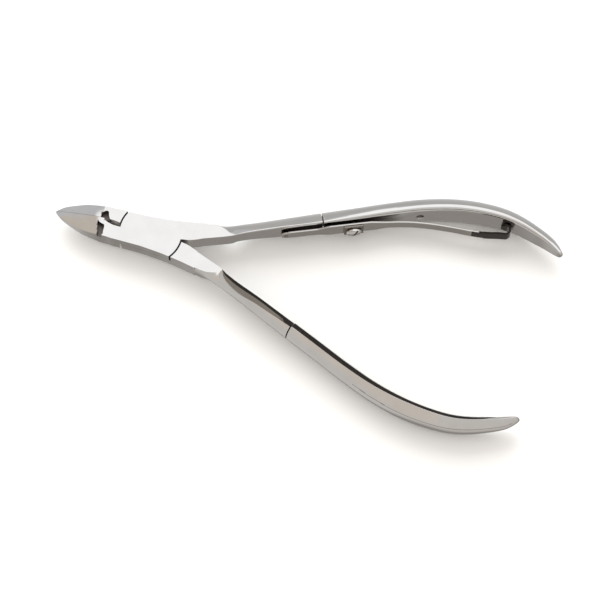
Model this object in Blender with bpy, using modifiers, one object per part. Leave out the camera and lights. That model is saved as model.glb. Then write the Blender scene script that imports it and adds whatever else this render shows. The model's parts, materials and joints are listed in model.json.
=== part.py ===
# Cuticle nipper: lap-jointed arms with half-moon jaws, two bowed handles,
# and a single leaf spring that swivels on a screw in the upper handle.
#
# Frame: origin on the pivot axis, on the flat top face of the lap joint, +Z along
# the pivot axis and out of that face, +X from the jaws towards the handles,
# +Y towards the handle with the spring.
# Lengths are in millimetres and are scaled to metres when meshes are made.
# The shapes are first built with z = 0 at mid thickness, then lowered by HALF_T.
# One arm is drawn, the one with the handle on +Y and the jaw on -Y; the other
# is the same shape turned over about X. In names, "top" is its +Z side and
# "low" its -Z side.

import math

import bmesh
import bpy
from mathutils import Matrix, Vector

MM = 0.001
FLIP = Matrix.Rotation(math.pi, 4, "X")

# ---------------------------------------------------------------- lap joint
HALF_T = 2.5          # half thickness of the lap joint
LAP_GAP = 0.12        # each lap stops this far from the mid plane
LAP_JOIN_Z = 0.4      # the low plates reach up into the lap to here
SHOULDER_PLAY = 0.30  # between a lap's round edge and the shoulder facing it
JAW_LAP_R = 6.45      # round edge of the lap, jaw side
JAW_SHOULDER_R = JAW_LAP_R + SHOULDER_PLAY
SHANK_LAP_R = 6.50    # round edge of the lap, handle side
SHANK_SHOULDER_R = SHANK_LAP_R + SHOULDER_PLAY
# Distance from the X axis at which each round edge ends.
JAW_LAP_Y, JAW_SHOULDER_Y = 0.43, 0.50
SHANK_LAP_Y, SHANK_SHOULDER_Y = 0.25, 0.32

JAW_GAP = 0.10        # each cutting edge stops this far from the meeting plane
JAW_SLANT = 0.25      # the jaws meet on the plane y = JAW_SLANT * z
JAW_ROOT_X = -10.2
FLAT_START_X = JAW_ROOT_X - 0.6     # the flat plates overlap the jaw from here
FLAT_END_X = 11.0                   # and run this far into the bowed arm
EDGE_STEP = 1.5       # spacing of the outline points along the lap's edge

# (x, half width) of the flat lap, from the jaws' root to where the handles begin.
LAP_EDGE = [
    (-11.5, 3.20), (-10.2, 3.20), (-9.0, 3.22), (-7.8, 3.30), (-5.5, 3.32),
    (-3.5, 3.34), (-1.0, 3.40), (1.0, 3.58), (3.2, 3.78), (5.0, 4.03),
    (7.5, 4.42), (10.0, 4.86), (11.5, 5.14), (13.0, 5.48)]
# (x, y) of the top plate, from the lap's round edge to the jaw.
TOP_ROOT = [
    (-8.0, -0.41), (-9.2, -0.14), (-9.8, 0.12), (JAW_ROOT_X + 0.20, 0.30),
    (JAW_ROOT_X + 0.15, -0.12), (FLAT_START_X, -0.12)]
# (x, y) of the low plate, from the jaw towards the shoulder.
LOW_ROOT = [(FLAT_START_X, -0.75), (-9.2, -0.74), (-7.94, -0.68)]
# (x, y) of the flat shank's inner edge, from the crotch outwards.
SHANK_INNER = [(6.8, 0.30), (8.4, 0.58), (9.6, 0.95), (10.8, 1.42)]

# ---------------------------------------------------------------- jaws
# (x, half width) of the closed jaws.
JAW_EDGE = [
    (-20.8, 0.14), (-20.6, 0.32), (-20.1, 0.66), (-19.2, 1.24), (-18.3, 1.62),
    (-17.15, 2.05), (-16.0, 2.42), (-14.7, 2.78), (-13.2, 3.02), (-12.0, 3.14),
    (-11.1, 3.20), (-10.2, 3.21)]
# (x, half height) of the ridge beside the cutting edge.
JAW_RIDGE = [
    (-20.8, 0.12), (-19.95, 0.50), (-18.86, 0.90), (-17.76, 1.14), (-16.67, 1.42),
    (-15.58, 1.68), (-14.48, 1.94), (-13.39, 2.18), (-12.3, 2.38), (-11.2, 2.46),
    (-10.2, 2.48)]
# (x, half height) of the outer wall.
JAW_WALL = [
    (-20.8, 0.08), (-19.95, 0.40), (-18.86, 0.74), (-17.2, 1.00), (-16.0, 1.22),
    (-14.7, 1.46), (-13.4, 1.70), (-12.4, 1.90), (-11.2, 2.12), (-10.2, 2.30)]
JAW_STATIONS = [-20.8, -20.6, -20.1, -19.5, -18.86, -18.0, -17.15, -16.0, -14.7,
                -13.2, -12.0, -11.1, JAW_ROOT_X]

# (x, y) outlines of the two ground hollows behind the cutting edges.
JAW_HOLLOW = [
    (-11.45, 0.02), (-11.22, -0.30), (-10.90, -0.52), (-10.40, -0.66), (-9.92, -0.80),
    (-9.76, -1.30), (-9.70, -2.30), (-9.62, -2.80), (-9.86, -3.22), (-10.20, -3.60),
    (-10.86, -3.60), (-10.90, -2.75), (-10.98, -2.15), (-11.18, -1.45), (-11.36, -0.75)]
LAP_HOLLOW = [
    (-11.07, -1.22), (-10.92, -1.70), (-10.60, -2.08), (-10.18, -2.32), (-9.86, -2.30),
    (-9.66, -2.08), (-9.50, -1.50), (-9.14, -0.85), (-9.00, -0.40), (-11.05, -0.40)]
HOLLOW_FLOOR = 0.95   # the hollows' floors, off the mid plane
HOLLOW_REACH = 3.4    # their cutters end here, clear of the steel

# ---------------------------------------------------------------- bowed arm and handle
SEAM_X = 33.2         # where the handles are joined on the arms
SEAM_GAP = 0.30
TANG_LENGTH, TANG_T, TANG_H = 3.0, 1.1, 3.2
TANG_ROOT = 3.0       # the tang starts this far back inside the arm
TANG_PLAY = 0.30

# (x, y) of the outer edge, in plan.
BOW = [
    (9.0, 4.70), (10.0, 4.90), (11.5, 5.22), (13.0, 5.58), (14.0, 5.86), (16.0, 6.60),
    (18.0, 7.44), (22.0, 9.12), (26.5, 11.14), (33.2, 14.12), (40.0, 17.04),
    (46.3, 19.82), (53.7, 22.76), (61.0, 24.62), (66.0, 25.15), (71.5, 24.96),
    (78.2, 23.05), (82.8, 20.78), (84.9, 19.05)]
# (x, thickness in plan) and (x, full height), for the arm and then the handle.
# The arm starts taller than the lap and is ground flat with it.
ARM_T = [
    (9.0, 3.60), (10.0, 3.42), (12.0, 3.12), (14.0, 2.90), (16.0, 2.80), (19.0, 2.76),
    (26.0, 2.88), (33.2, 3.10)]
ARM_H = [
    (9.0, 15.0), (12.6, 13.0), (13.3, 9.6), (14.0, 7.4), (14.75, 5.75), (15.7, 5.04),
    (16.2, 5.10), (17.0, 5.50), (19.0, 6.22), (22.4, 7.00), (26.0, 7.38), (33.2, 7.50)]
HANDLE_T = [
    (33.2, 3.20), (45.0, 3.25), (55.0, 3.38), (66.0, 3.22), (74.0, 2.86), (80.0, 2.30),
    (83.5, 1.80), (84.9, 1.50)]
HANDLE_H = [
    (33.2, 7.72), (45.0, 8.10), (55.0, 8.50), (66.0, 8.75), (72.0, 8.42), (77.0, 7.60),
    (81.0, 6.25), (83.5, 4.90), (84.9, 4.20)]
# (x, rounding of the inner edge) on the two sides.
ROUND_TOP = [
    (9.0, 0.40), (13.0, 0.40), (14.6, 0.20), (15.6, 0.05), (16.6, 0.18), (20.0, 0.24),
    (33.2, 0.30), (36.0, 0.50), (45.0, 0.90), (70.0, 0.90), (80.0, 0.60), (84.9, 0.30)]
ROUND_LOW = [
    (9.0, 0.40), (13.0, 0.40), (14.6, 0.20), (15.6, 0.05), (16.6, 0.70), (18.0, 1.00),
    (26.0, 1.05), (33.2, 1.35), (45.0, 1.45), (53.0, 1.25), (60.0, 0.95), (74.0, 0.85),
    (80.0, 0.50), (84.9, 0.25)]
# (x, width of the facet beyond the rounding); the top side has only MIN_FACET.
FACET_LOW = [
    (15.6, 0.0), (16.6, 0.35), (18.5, 0.85), (26.0, 0.80), (31.5, 0.30), (34.0, 0.12),
    (60.0, 0.06), (84.9, 0.04)]
MIN_FACET = 0.02
# (x, slope in degrees) of the outer side at the crest.
TILT_TOP = [(15.0, 1.0), (17.5, 14.0), (33.2, 14.0), (38.0, 8.0), (84.9, 8.0)]
TILT_LOW = [(15.0, 1.0), (17.0, 26.0), (20.0, 40.0), (33.2, 42.0), (84.9, 42.0)]
# (x, share of the creased outer side): 0 is a dome, 1 a facet with a crease.
CREASE = [(33.2, 0.0), (44.0, 0.0), (52.0, 0.6), (60.0, 1.0), (84.9, 1.0)]
CREASE_HEIGHT = 0.46  # height of the crease, as a share of the half height
BULGE_TOP, BULGE_LOW = 0.30, 0.10   # swelling of the facet before the crease
ROUND_START = math.radians(84.0)    # slope of the rounding at the inner face
ROUND_END = math.radians(16.0)      # and where it meets the facet

GROUND_END_X = 15.7   # the arm is ground down to the lap up to here
GROUND_PROUD = 0.012  # height it keeps above the lap
GROUND_RISE = 2.0     # slope at which the limit then rises

ARM_STATIONS = [10.0, 11.5, 13.0, 13.6, 14.2, 14.8, 15.4, 15.9, 16.5]
ARM_EVEN_X = 17.2     # from here to the seam the arm's sections are even
TIP_START_X = 82.0    # the handle's rounded end starts here
TIP_ANGLES = (25, 45, 62, 76, 86)   # degrees round the end

# ---------------------------------------------------------------- pivot screw
PIVOT_R = 1.5
PIVOT_END = 1.5       # the shank ends this far past the mid plane
PIVOT_HEAD_R, PIVOT_HEAD_H = 2.45, 1.0
PIVOT_PLAY = 0.25     # round the shank and head, and beyond their ends
BORE_PAST_MID = 1.0   # the bores' cutters pass the mid plane by this
BORE_REACH = 4.0      # and end here, clear of the underside
SHANK_CHAMFER = 0.25

# ---------------------------------------------------------------- spring
SCREW_X = 40.3        # the spring screw's place along the handle
SWIVEL_SLOPE = 0.402  # slope, in plan, of the plane in which the leaf swivels
SCREW_R = 0.75
SCREW_PLAY = 0.28
SCREW_HEAD_R, SCREW_HEAD_H = 1.55, 1.25
SCREW_DEPTH = 1.7     # length of the shank inside the handle
STACK_GAP = 0.12      # between leaf and plate, and between plate and head

LEAF_T = 0.5          # strip thickness
LEAF_W = 2.9          # strip width
LEAF_BASE = 0.62      # near face of the leaf above the inner face, at the screw
LEAF_TAIL_X = 26.3
TAIL_ROUND_X = 28.0   # the tail narrows from here to its end
TAIL_END_SHARE = 0.55 # width of the tail's end, as a share of the strip's
LEAF_BEND_X = 44.0    # the strip is straight up to here
LEAF_END_X = 70.8
# (x, distance of the leaf's near face from the handle's inner face) past the bend.
LEAF_LIFT = [
    (LEAF_BEND_X, LEAF_BASE), (47.0, 0.78), (50.0, 1.10), (55.0, 1.95), (60.0, 2.85),
    (64.0, 3.30), (67.0, 3.20), (69.5, 2.66), (71.0, 2.34)]
PAD_W = 4.6           # width of the pad round the screw
PAD_START_X, PAD_START_RAMP = 33.0, 3.0
PAD_END_X, PAD_END_RAMP = 47.5, 4.0
HOOK_R = 0.70         # radius of the hook that the strip ends in
HOOK_STEP = 37.0      # degrees between sections of the hook
HOOK_END_STEP = 0.7   # spacing of the straight sections after it
HOOK_TAPER = 0.22     # share of the strip's width lost at each of them

PLATE_SIZE = (4.1, 4.4, 0.35)       # washer plate under the screw head
PLATE_BEVEL = 0.10
PLATE_Z = LEAF_BASE + LEAF_T + STACK_GAP
NUB_X = 27.1          # detent nub on the leaf's tail
NUB_R, NUB_HOLE_R = 0.34, 0.50
NUB_START = 0.12      # the nub's end nearest the handle, in the swivel frame
NUB_PROUD = 0.28      # its height above the leaf's far face


# ---------------------------------------------------------------- curves
def spline(points, x):
    """Smooth value at x through points of increasing x; constant beyond the ends."""
    if x <= points[0][0]:
        return points[0][1]
    if x >= points[-1][0]:
        return points[-1][1]
    last = len(points) - 1
    i = max(k for k in range(last) if points[k][0] <= x)

    def chord(k):
        return (points[k + 1][1] - points[k][1]) / (points[k + 1][0] - points[k][0])

    def slope(k):
        if k == 0:
            return chord(0)
        if k == last:
            return chord(last - 1)
        before = points[k][0] - points[k - 1][0]
        after = points[k + 1][0] - points[k][0]
        return (chord(k - 1) * after + chord(k) * before) / (before + after)

    x0, y0 = points[i]
    x1, y1 = points[i + 1]
    h = x1 - x0
    t = (x - x0) / h
    return ((2 * t ** 3 - 3 * t ** 2 + 1) * y0 + (t ** 3 - 2 * t ** 2 + t) * h * slope(i)
            + (-2 * t ** 3 + 3 * t ** 2) * y1 + (t ** 3 - t ** 2) * h * slope(i + 1))


def stations(x0, x1, step):
    count = max(1, round(abs(x1 - x0) / step))
    return [x0 + (x1 - x0) * i / count for i in range(count + 1)]


def arc(radius, start, end, count):
    angles = [start + (end - start) * i / count for i in range(count + 1)]
    return [(radius * math.cos(a), radius * math.sin(a)) for a in angles]


def lap_edge(x0, x1, side):
    """Points on the lap's edge from x0 to x1, on the side given by the sign of y."""
    return [(x, side * spline(LAP_EDGE, x)) for x in stations(x0, x1, EDGE_STEP)]


def lap_corner(radius, x_sign):
    """Where the lap's edge crosses the circle of that radius, found by halving."""
    low, high = (0.5 * radius, radius) if x_sign > 0 else (-radius, -0.5 * radius)
    for _ in range(50):
        x = 0.5 * (low + high)
        inside = math.hypot(x, spline(LAP_EDGE, x)) < radius
        if (x_sign > 0) == inside:
            low = x
        else:
            high = x
    x = 0.5 * (low + high)
    return x, spline(LAP_EDGE, x)


def bow_frame(x):
    """Point on the outer edge, unit tangent and unit outward normal, in plan."""
    delta = 0.05
    x0, x1 = max(x - delta, BOW[0][0]), min(x + delta, BOW[-1][0])
    rise = spline(BOW, x + delta) - spline(BOW, x - delta)
    tangent = Vector((x1 - x0, rise)).normalized()
    return Vector((x, spline(BOW, x))), tangent, Vector((-tangent.y, tangent.x))


def inner_y(x):
    """The inner face's y at a given x."""
    thickness = ARM_T if x < SEAM_X else HANDLE_T

    def inner_point(outer_x):
        point, _, normal = bow_frame(outer_x)
        return point - normal * spline(thickness, outer_x)

    outer_x = x
    for _ in range(12):
        outer_x += x - inner_point(outer_x).x
    return inner_point(outer_x).y


# ---------------------------------------------------------------- frames
def frame(origin, along, side):
    """Matrix with +X along, +Y to the side, and its origin given in millimetres."""
    axes = Matrix((along, side, along.cross(side))).transposed()
    return Matrix.Translation(origin * MM) @ axes.to_4x4()


def seam_frame():
    """Frame on the handle's centre line at the seam, +X along the handle."""
    point, tangent, normal = bow_frame(SEAM_X)
    centre = point - normal * (0.5 * spline(ARM_T, SEAM_X))
    return frame(centre.to_3d(), tangent.to_3d(), normal.to_3d())


def swivel_frame():
    """Frame on the spring screw's axis: +Z out of the inner face, +X along the strip."""
    along = Vector((1.0, SWIVEL_SLOPE, 0.0)).normalized()
    return frame(Vector((SCREW_X, inner_y(SCREW_X), 0.0)), along, Vector((0.0, 0.0, 1.0)))


def face_in_swivel(x):
    """Inner face point at x, in the swivel frame and in metres."""
    return swivel_frame().inverted() @ (Vector((x, inner_y(x), 0)) * MM)


def along_swivel(x, z=0.0):
    """The swivel frame moved along its own X and Z, in metres."""
    return swivel_frame() @ Matrix.Translation((x, 0, z))


# ---------------------------------------------------------------- scene tools
def clear():
    for obj in list(bpy.data.objects):
        bpy.data.objects.remove(obj, do_unlink=True)


def collection(name):
    coll = bpy.data.collections.get(name) or bpy.data.collections.new(name)
    if coll.name not in bpy.context.scene.collection.children:
        bpy.context.scene.collection.children.link(coll)
    return coll


def metal(name, colour, roughness):
    mat = bpy.data.materials.new(name)
    mat.use_nodes = True
    shader = mat.node_tree.nodes["Principled BSDF"]
    shader.inputs["Base Color"].default_value = (*colour, 1.0)
    shader.inputs["Roughness"].default_value = roughness
    shader.inputs["Metallic"].default_value = 1.0
    return mat


def new_object(name, mesh, coll):
    obj = bpy.data.objects.new(name, mesh)
    coll.objects.link(obj)
    return obj


def from_bmesh(name, bm, coll):
    bmesh.ops.recalc_face_normals(bm, faces=bm.faces)
    mesh = bpy.data.meshes.new(name)
    bm.to_mesh(mesh)
    bm.free()
    return new_object(name, mesh, coll)


def evaluated_mesh(obj):
    bpy.context.view_layer.update()
    depsgraph = bpy.context.evaluated_depsgraph_get()
    return bpy.data.meshes.new_from_object(obj.evaluated_get(depsgraph))


def plate(name, outline, z0, z1, coll):
    """A flat outline given thickness from z0 to z1."""
    curve = bpy.data.curves.new(name, "CURVE")
    curve.dimensions = "2D"
    curve.fill_mode = "BOTH"
    curve.extrude = 0.5 * (z1 - z0) * MM
    line = curve.splines.new("POLY")
    line.points.add(len(outline) - 1)
    for point, (x, y) in zip(line.points, outline):
        point.co = (x * MM, y * MM, 0.0, 1.0)
    line.use_cyclic_u = True
    obj = new_object(name + "_outline", curve, coll)
    obj.location.z = 0.5 * (z0 + z1) * MM
    mesh = evaluated_mesh(obj)
    bm = bmesh.new()
    bm.from_mesh(mesh)
    bm.transform(obj.matrix_world)
    bmesh.ops.remove_doubles(bm, verts=bm.verts, dist=1e-7)
    bpy.data.objects.remove(obj, do_unlink=True)
    bpy.data.meshes.remove(mesh)
    return from_bmesh(name, bm, coll)


def loft(name, sections, coll):
    """Closed skin through rings of equal length; the end rings are capped."""
    bm = bmesh.new()
    rings = [[bm.verts.new(Vector(p) * MM) for p in ring] for ring in sections]
    count = len(rings[0])
    for a, b in zip(rings, rings[1:]):
        for i in range(count):
            j = (i + 1) % count
            bm.faces.new((a[i], a[j], b[j], b[i]))
    bm.faces.new(rings[0][::-1])
    bm.faces.new(rings[-1])
    return from_bmesh(name, bm, coll)


def cylinder(name, radius, z0, z1, matrix, coll, segments=32, end_radius=None):
    """Cylinder along local Z, or a cone if it has another radius at z1."""
    bm = bmesh.new()
    bmesh.ops.create_cone(
        bm, cap_ends=True, segments=segments, radius1=radius * MM,
        radius2=(radius if end_radius is None else end_radius) * MM, depth=(z1 - z0) * MM,
        matrix=matrix @ Matrix.Translation((0, 0, 0.5 * (z0 + z1) * MM)))
    return from_bmesh(name, bm, coll)


def box(name, size, centre, matrix, coll):
    bm = bmesh.new()
    scale = Matrix.Diagonal((*(s * MM for s in size), 1.0))
    place = matrix @ Matrix.Translation(Vector(centre) * MM)
    bmesh.ops.create_cube(bm, size=1.0, matrix=place @ scale)
    return from_bmesh(name, bm, coll)


def apply_booleans(obj, joins=(), cuts=()):
    """Join and cut with exact booleans one by one, keeping the result as mesh."""
    for operation, others in (("UNION", joins), ("DIFFERENCE", cuts)):
        for other in others:
            mod = obj.modifiers.new(operation.title() + "_" + other.name, "BOOLEAN")
            mod.operation = operation
            mod.solver = "EXACT"
            mod.object = other
            mesh = evaluated_mesh(obj)
            obj.modifiers.clear()
            old = obj.data
            obj.data = mesh
            mesh.name = obj.name
            bpy.data.meshes.remove(old)
    for other in joins:
        bpy.data.objects.remove(other, do_unlink=True)
    bm = bmesh.new()
    bm.from_mesh(obj.data)
    bmesh.ops.remove_doubles(bm, verts=bm.verts, dist=1e-6)
    bmesh.ops.dissolve_degenerate(bm, edges=bm.edges, dist=1e-7)
    bm.to_mesh(obj.data)
    bm.free()
    return obj


# ---------------------------------------------------------------- sections
def half_section(x, width, height, rounding, facet, tilt, bulge):
    """(Distance from the inner face, height) over the crest to the outer face's middle.

    The outer side is a dome that turns, by CREASE, into a facet, a crease and a
    near-flat outer face.
    """
    radius = rounding / (math.sin(ROUND_START) - math.sin(ROUND_END))
    facet_height = height - facet * math.tan(ROUND_END)
    half = []
    for k in range(4):
        angle = ROUND_START + (ROUND_END - ROUND_START) * k / 3
        half.append((radius * (math.sin(ROUND_START) - math.sin(angle)),
                     facet_height - radius * (math.cos(ROUND_END) - math.cos(angle))))
    crest = rounding + facet
    half.append((crest, height))

    span = width - crest
    lean = math.tan(math.radians(tilt)) * span / height
    dome_angle = math.acos(min(0.90, lean / max(0.1, 1.0 - lean)))
    corner = min(0.30, 0.16 * width)
    facet_start = Vector((crest, height))
    facet_end = Vector((width - corner, CREASE_HEIGHT * height))
    direction = (facet_end - facet_start).normalized()
    swell = Vector((-direction.y, direction.x))
    crease = max(0.0, min(1.0, spline(CREASE, x)))
    for k in range(1, 8):
        angle = dome_angle * (1.0 - k / 7)
        dome_rise = (math.cos(angle) - math.cos(dome_angle)) / (1.0 - math.cos(dome_angle))
        dome = (crest + span * dome_rise, height * math.sin(angle) / math.sin(dome_angle))
        if k <= 5:
            v = k / 5
            offset = bulge * 4 * v * (1 - v) * min(1.0, width / 2.0)
            creased = facet_start.lerp(facet_end, v) + swell * offset
        else:
            v = (k - 5) / 2
            creased = (width - corner * (1.0 - math.sin(math.radians(90.0 * v))),
                       CREASE_HEIGHT * height * (1.0 - v))
        half.append(tuple(d + (c - d) * crease for d, c in zip(dome, creased)))

    limit = HALF_T + GROUND_PROUD + GROUND_RISE * max(0.0, x - GROUND_END_X)
    return [(a, max(0.0, min(b, limit))) for a, b in half]


def bow_section(x, thickness, heights, shrink=1.0):
    """Section of the arm or handle: flat inner face, shaped outer face."""
    point, _, normal = bow_frame(x)
    full_width = spline(thickness, x)
    width = full_width * shrink
    height = 0.5 * spline(heights, x) * shrink
    base = point - normal * (0.5 * full_width + 0.5 * width)
    top = half_section(x, width, height, spline(ROUND_TOP, x) * shrink, MIN_FACET * shrink,
                       spline(TILT_TOP, x), BULGE_TOP)
    low = half_section(x, width, height, spline(ROUND_LOW, x) * shrink,
                       (spline(FACET_LOW, x) + MIN_FACET) * shrink,
                       spline(TILT_LOW, x), BULGE_LOW)
    ring = top + [(a, -b) for a, b in reversed(low[:-1])]
    return [(base.x + normal.x * a, base.y + normal.y * a, b) for a, b in ring]


def jaw_section(x):
    width, ridge, wall = (spline(table, x) for table in (JAW_EDGE, JAW_RIDGE, JAW_WALL))
    return [(x, JAW_SLANT * ridge - JAW_GAP, ridge), (x, -JAW_SLANT * ridge - JAW_GAP, -ridge),
            (x, -width, -wall), (x, -width, wall)]


# ---------------------------------------------------------------- arms
def top_outline(inner):
    """Lap with its strip to the jaw and the top of the shank."""
    jaw_x, jaw_y = lap_corner(JAW_LAP_R, -1)
    shank_x, shank_y = lap_corner(SHANK_LAP_R, 1)
    outline = lap_edge(FLAT_END_X, jaw_x, 1)
    outline += arc(JAW_LAP_R, math.atan2(jaw_y, jaw_x),
                   math.pi + math.asin(JAW_LAP_Y / JAW_LAP_R), 8)[1:]
    outline += TOP_ROOT
    outline += lap_edge(FLAT_START_X, shank_x, -1)
    outline += arc(SHANK_LAP_R, math.atan2(-shank_y, shank_x),
                   math.asin(SHANK_LAP_Y / SHANK_LAP_R), 10)[1:]
    return outline + inner


def jaw_root_outline():
    x, y = lap_corner(JAW_SHOULDER_R, -1)
    shoulder = arc(JAW_SHOULDER_R, math.pi + math.asin(JAW_SHOULDER_Y / JAW_SHOULDER_R),
                   2 * math.pi + math.atan2(-y, x), 6)
    return LOW_ROOT + shoulder + lap_edge(x, FLAT_START_X, -1)[1:]


def shank_outline(inner):
    x, y = lap_corner(SHANK_SHOULDER_R, 1)
    shoulder = arc(SHANK_SHOULDER_R, math.asin(SHANK_SHOULDER_Y / SHANK_SHOULDER_R),
                   math.atan2(y, x), 8)
    return shoulder + lap_edge(x, FLAT_END_X, 1)[1:] + inner[:0:-1]


def tang_box(name, play, coll):
    """The tang, or its socket when there is play round it."""
    size = (TANG_LENGTH + play + TANG_ROOT, TANG_T + 2 * play, TANG_H + 2 * play)
    centre = (0.5 * (TANG_LENGTH + play - TANG_ROOT), 0, 0)
    return box(name, size, centre, seam_frame(), coll)


def uncut_arm(name, coll):
    """Arm with its jaw on -Y, its lap on +Z and its shank on +Y."""
    inner = [(x, spline(SHANK_INNER, x))
             for x in stations(SHANK_INNER[0][0], SHANK_INNER[-1][0], 1.0)]
    body = plate(name, top_outline(inner), LAP_GAP, HALF_T, coll)
    root = plate("arm_root", jaw_root_outline(), -HALF_T, LAP_JOIN_Z, coll)
    shank = plate("arm_shank", shank_outline(inner), -HALF_T, LAP_JOIN_Z, coll)
    jaw = loft("arm_jaw", [jaw_section(x) for x in JAW_STATIONS], coll)
    bow_stations = ARM_STATIONS + stations(ARM_EVEN_X, SEAM_X - 0.5 * SEAM_GAP, 1.6)
    bow = loft("arm_bow", [bow_section(x, ARM_T, ARM_H) for x in bow_stations], coll)
    tang = tang_box("arm_tang", 0.0, coll)
    return apply_booleans(body, joins=[root, shank, jaw, bow, tang])


def hollows(arm, matrix, cutters):
    """Cutters for the hollows behind the cutting edge, one from each side."""
    cuts = [plate(arm.name + "_jaw_hollow", JAW_HOLLOW, HOLLOW_FLOOR, HOLLOW_REACH, cutters),
            plate(arm.name + "_lap_hollow", LAP_HOLLOW, -HOLLOW_REACH, -HOLLOW_FLOOR, cutters)]
    for cut in cuts:
        cut.data.transform(matrix)
    return cuts


def dimple(name, x, z, cutters):
    """Cutter for a tapered dimple in the inner face, placed in the swivel frame."""
    return cylinder(name, radius=0.75, end_radius=1.05, z0=-0.35, z1=0.8,
                    matrix=along_swivel(x, z), coll=cutters, segments=20)


def arms(parts, cutters):
    upper = uncut_arm("upper_arm", parts)
    turned = upper.data.copy()
    turned.transform(FLIP)
    lower = new_object("lower_arm", turned, parts)

    identity = Matrix.Identity(4)
    bore_r = PIVOT_R + PIVOT_PLAY
    nub = face_in_swivel(NUB_X)
    apply_booleans(upper, cuts=hollows(upper, identity, cutters) + [
        cylinder("upper_bore", bore_r, -BORE_PAST_MID, PIVOT_END + PIVOT_PLAY,
                 identity, cutters),
        dimple("arm_dimple", nub.x, nub.z, cutters)])
    apply_booleans(lower, cuts=hollows(lower, FLIP, cutters) + [
        cylinder("lower_bore", bore_r, -BORE_REACH, BORE_PAST_MID, identity, cutters),
        cylinder("lower_sink", PIVOT_HEAD_R + PIVOT_PLAY, -BORE_REACH,
                 -HALF_T + PIVOT_HEAD_H + PIVOT_PLAY, identity, cutters)])
    return upper, lower


# ---------------------------------------------------------------- handles
def handle(name, coll, cuts):
    rings = [bow_section(x, HANDLE_T, HANDLE_H)
             for x in stations(SEAM_X + 0.5 * SEAM_GAP, TIP_START_X, 2.2)]
    for angle in map(math.radians, TIP_ANGLES):
        x = TIP_START_X + (BOW[-1][0] - TIP_START_X) * math.sin(angle)
        shrink = max(0.12, math.cos(angle) ** 0.7)
        rings.append(bow_section(x, HANDLE_T, HANDLE_H, shrink))
    return apply_booleans(loft(name, rings, coll), cuts=cuts)


def screw_clearance(name, z0, z1, cutters):
    return cylinder(name, SCREW_R + SCREW_PLAY, z0, z1, swivel_frame(), cutters, segments=24)


def handles(parts, cutters):
    # the handle's dimple sits where the nub lands after half a turn of the leaf
    far_x = -face_in_swivel(NUB_X).x
    plan_x = (swivel_frame() @ Vector((far_x, 0, 0))).x / MM
    upper = handle("upper_handle", parts, [
        tang_box("upper_socket", TANG_PLAY, cutters),
        screw_clearance("screw_hole", -2.0, 1.0, cutters),
        dimple("handle_dimple", far_x, face_in_swivel(plan_x).z, cutters)])
    lower = handle("lower_handle", parts, [tang_box("lower_socket", TANG_PLAY, cutters)])
    lower.data.transform(FLIP)
    return upper, lower


# ---------------------------------------------------------------- leaf spring
def leaf_line():
    """Leaf's near face as (station x, point in the swivel frame's XZ plane)."""
    xs = stations(LEAF_TAIL_X, LEAF_BEND_X, 2.2)
    xs += stations(LEAF_BEND_X, LEAF_END_X, 1.3)[1:]
    line = []
    for x in xs:
        face = face_in_swivel(x) / MM
        z = LEAF_BASE if x <= LEAF_BEND_X else face.z + spline(LEAF_LIFT, x)
        line.append(Vector((face.x, z)))

    # the end curls back towards the handle, then runs straight
    ahead = (line[-1] - line[-2]).normalized()
    side = Vector((-ahead.y, ahead.x))
    centre = line[-1] - side * HOOK_R
    for k in range(1, 6):
        angle = math.radians(HOOK_STEP * k)
        line.append(centre + side * (HOOK_R * math.cos(angle))
                    + ahead * (HOOK_R * math.sin(angle)))
    back = (line[-1] - line[-2]).normalized()
    for _ in range(3):
        line.append(line[-1] + back * HOOK_END_STEP)
    return xs, line


def leaf_width(x):
    if PAD_START_X < x < PAD_END_X:
        ramp = min(1.0, (x - PAD_START_X) / PAD_START_RAMP, (PAD_END_X - x) / PAD_END_RAMP)
        return LEAF_W + (PAD_W - LEAF_W) * ramp
    if x < TAIL_ROUND_X:
        share = math.sqrt((x - LEAF_TAIL_X) / (TAIL_ROUND_X - LEAF_TAIL_X))
        return LEAF_W * (TAIL_END_SHARE + (1.0 - TAIL_END_SHARE) * share)
    return LEAF_W


def leaf_spring(parts, cutters):
    """Spring strip: straight tail and pad, bowed arm, end hooked towards the handle."""
    swivel = swivel_frame()
    xs, line = leaf_line()
    widths = [leaf_width(x) for x in xs] + [LEAF_W] * 5
    widths += [LEAF_W * (1.0 - HOOK_TAPER * k) for k in range(1, 4)]
    rings = []
    for i, (point, width) in enumerate(zip(line, widths)):
        tangent = (line[min(len(line) - 1, i + 1)] - line[max(0, i - 1)]).normalized()
        normal = Vector((-tangent.y, tangent.x))
        ring = []
        for layer, side in ((0, -1), (0, 1), (1, 1), (1, -1)):
            q = point + normal * (layer * LEAF_T)
            ring.append(swivel @ (Vector((q.x, side * 0.5 * width, q.y)) * MM) / MM)
        rings.append(ring)
    strip = loft("leaf_spring", rings, parts)
    return apply_booleans(strip, cuts=[
        screw_clearance("leaf_hole", 0.0, 2.0, cutters),
        cylinder("nub_hole", NUB_HOLE_R, 0.0, 2.0, along_swivel(face_in_swivel(NUB_X).x),
                 cutters, segments=16)])


def washer_plate(parts, cutters):
    washer = box("washer_plate", PLATE_SIZE, (0, 0, PLATE_Z + 0.5 * PLATE_SIZE[2]),
                 swivel_frame(), parts)
    bevel = washer.modifiers.new("Bevel", "BEVEL")
    bevel.width = PLATE_BEVEL * MM
    bevel.segments = 1
    # the boolean step applies the bevel together with the cut
    return apply_booleans(washer, cuts=[screw_clearance("plate_hole", 0.0, 3.0, cutters)])


def detent_nub(parts):
    return cylinder("detent_nub", NUB_R, NUB_START, LEAF_BASE + LEAF_T + NUB_PROUD,
                    along_swivel(face_in_swivel(NUB_X).x), parts, segments=16)


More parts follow.
